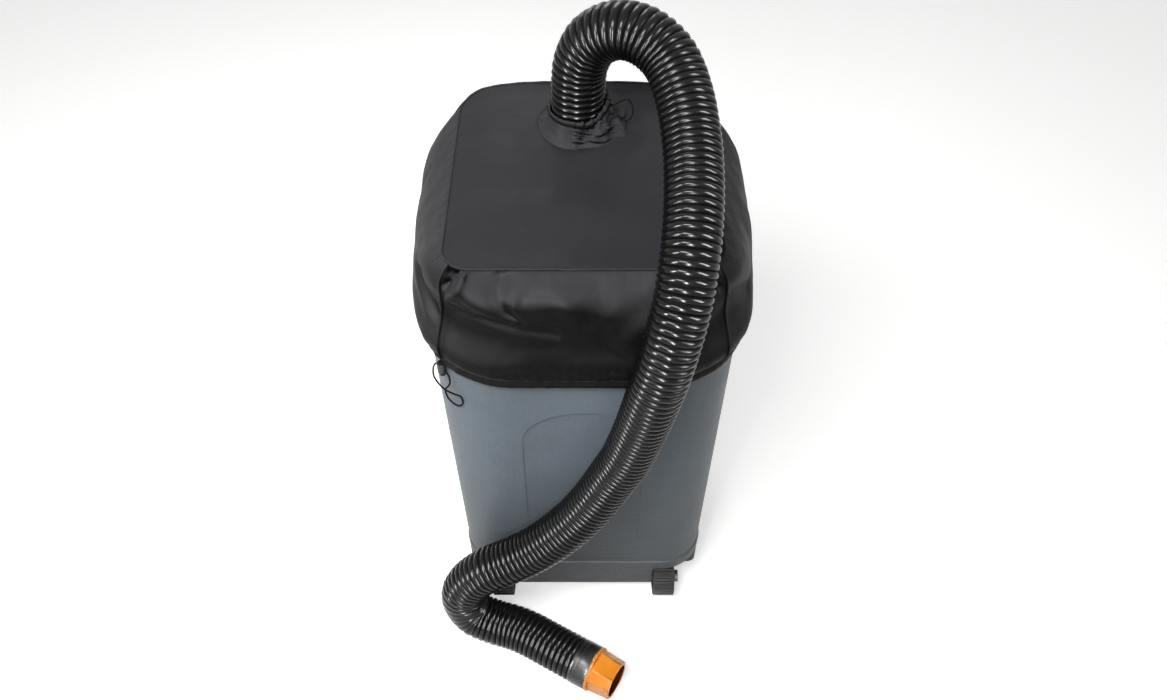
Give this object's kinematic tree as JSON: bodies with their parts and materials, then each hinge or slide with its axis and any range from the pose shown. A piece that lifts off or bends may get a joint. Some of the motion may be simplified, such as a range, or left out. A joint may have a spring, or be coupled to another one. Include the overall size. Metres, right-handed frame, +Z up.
{
  "type": "leaf collection bin with hood and hose",
  "caption": "Drawstring fabric hood over a square wheeled bin, with a ribbed hose rising from a gathered collar and ending in a faceted push-on tube adapter.",
  "frame": {"origin": "on the floor under the middle of the bin and hood", "axes": "+Z up, the wheels and the hose's free end towards -Y, +X to the right of a viewer at -Y"},
  "size_m": [0.662, 0.8639, 1.3281],
  "materials": {
    "bin_plastic": "orange-peel moulded polyethylene",
    "wheel_plastic": "moulded, ridged tread",
    "bush_plastic": "moulded",
    "axle_steel": "zinc plated",
    "hood_cloth": "coated polyester weave, soft sheen",
    "cord": "round elastic cord",
    "lock_plastic": "moulded",
    "spring_steel": "drawn wire",
    "hose_plastic": "glossy blow-moulded polyethylene",
    "adapter_plastic": "glossy moulded ABS"
  },
  "bodies": {
    "collector": {"bin_tub": "bin_plastic", "axle_rod": "axle_steel", "axle_bush_left": "bush_plastic", "axle_bush_right": "bush_plastic", "axle_cap_left": "bush_plastic", "axle_cap_right": "bush_plastic", "hood_top_panel": "hood_cloth", "hood_front_panel": "hood_cloth", "hood_right_panel": "hood_cloth", "hood_back_panel": "hood_cloth", "hood_left_panel": "hood_cloth", "hem_casing": "hood_cloth", "hem_drawcord": "cord", "hem_cord_tail": "cord", "cord_lock_barrel": "lock_plastic", "cord_lock_spring": "spring_steel", "collar_sleeve": "hood_cloth", "collar_casing": "hood_cloth", "collar_drawcord": "cord", "collar_cord_loop": "cord", "hose_upper_cuff": "hose_plastic", "ribbed_hose": "hose_plastic", "hose_lower_cuff": "hose_plastic"},
    "wheel_left": {"wheel_left": "wheel_plastic"},
    "wheel_right": {"wheel_right": "wheel_plastic"},
    "cord_lock_button": {"cord_lock_button": "lock_plastic"},
    "hose_adapter": {"hose_adapter": "adapter_plastic"}
  },
  "joints": [
    {"name": "wheel_left_spin", "type": "hinge", "parent": "collector", "child": "wheel_left", "pos_m": [-0.189, -0.258, 0.045], "axis": [1, 0, 0], "continuous": true},
    {"name": "wheel_right_spin", "type": "hinge", "parent": "collector", "child": "wheel_right", "pos_m": [0.189, -0.258, 0.045], "axis": [1, 0, 0], "continuous": true},
    {"name": "cord_lock_press", "type": "slide", "parent": "collector", "child": "cord_lock_button", "axis": [0, 0, 1], "range_m": [0, 0.005], "stiffness_N_per_m": 400, "springref_m": -0.002, "deforming": ["cord_lock_spring"]},
    {"name": "adapter_twist", "type": "hinge", "parent": "collector", "child": "hose_adapter", "pos_m": [-0.014, -0.475, 0.052], "axis": [0.8662, -0.4997, 0], "continuous": true}
  ]
}
